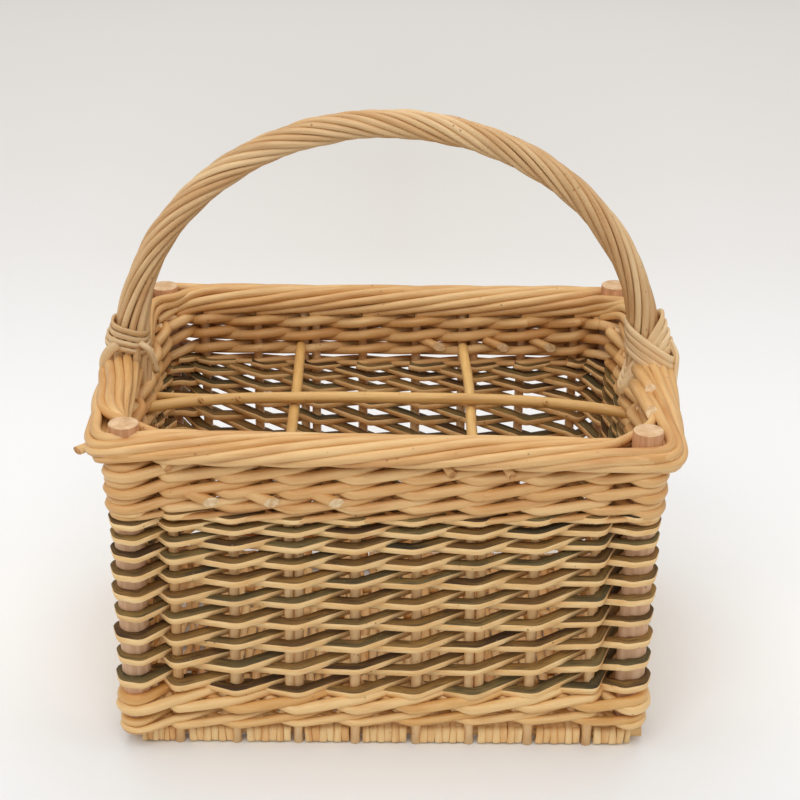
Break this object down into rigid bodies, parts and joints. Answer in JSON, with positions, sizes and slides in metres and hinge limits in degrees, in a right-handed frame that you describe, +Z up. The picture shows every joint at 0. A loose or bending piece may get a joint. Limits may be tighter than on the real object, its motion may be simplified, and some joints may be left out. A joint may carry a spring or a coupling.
{
  "type": "bottle basket",
  "caption": "Rectangular woven willow basket with divider rods for standing bottles, a rolled border and a roped arch handle.",
  "frame": {"origin": "centre of the base, on the surface the basket stands on", "axes": "+X along the long side, +Y towards the back, +Z up through the handle"},
  "size_m": [0.3924, 0.2782, 0.3966],
  "materials": {
    "peeled_post": "natural willow",
    "stake_willow": "natural willow",
    "cleft_bark_willow": "natural willow",
    "divider_willow": "natural willow",
    "handle_willow": "natural willow",
    "buff_willow": "natural willow"
  },
  "bodies": {
    "root": {"base_mat": "buff_willow", "base_stick_back": "buff_willow", "base_stick_front": "buff_willow", "border_inner": "buff_willow", "border_outer": "buff_willow", "corner_post_back_left": "peeled_post", "corner_post_back_right": "peeled_post", "corner_post_front_left": "peeled_post", "corner_post_front_right": "peeled_post", "cross_rod_left": "divider_willow", "cross_rod_right": "divider_willow", "handle_binding_left": "buff_willow", "handle_binding_right_over": "buff_willow", "handle_binding_right_under": "buff_willow", "handle_bow": "handle_willow", "handle_roping": "handle_willow", "long_rod": "divider_willow", "lower_wale_1": "buff_willow", "lower_wale_2": "buff_willow", "lower_wale_3": "buff_willow", "lower_wale_4": "buff_willow", "siding_row_1": "cleft_bark_willow", "siding_row_10": "cleft_bark_willow", "siding_row_2": "cleft_bark_willow", "siding_row_3": "cleft_bark_willow", "siding_row_4": "cleft_bark_willow", "siding_row_5": "cleft_bark_willow", "siding_row_6": "cleft_bark_willow", "siding_row_7": "cleft_bark_willow", "siding_row_8": "cleft_bark_willow", "siding_row_9": "cleft_bark_willow", "spare_rod": "divider_willow", "stake_back_1": "stake_willow", "stake_back_2": "stake_willow", "stake_back_3": "stake_willow", "stake_back_4": "stake_willow", "stake_back_5": "stake_willow", "stake_back_6": "stake_willow", "stake_back_7": "stake_willow", "stake_back_8": "stake_willow", "stake_front_1": "stake_willow", "stake_front_2": "stake_willow", "stake_front_3": "stake_willow", "stake_front_4": "stake_willow", "stake_front_5": "stake_willow", "stake_front_6": "stake_willow", "stake_front_7": "stake_willow", "stake_front_8": "stake_willow", "stake_left_1": "stake_willow", "stake_left_2": "stake_willow", "stake_left_3": "stake_willow", "stake_left_4": "stake_willow", "stake_right_1": "stake_willow", "stake_right_2": "stake_willow", "stake_right_3": "stake_willow", "stake_right_4": "stake_willow", "upper_wale_1": "buff_willow", "upper_wale_2": "buff_willow", "upper_wale_3": "buff_willow", "upper_wale_4": "buff_willow"}
  },
  "joints": []
}
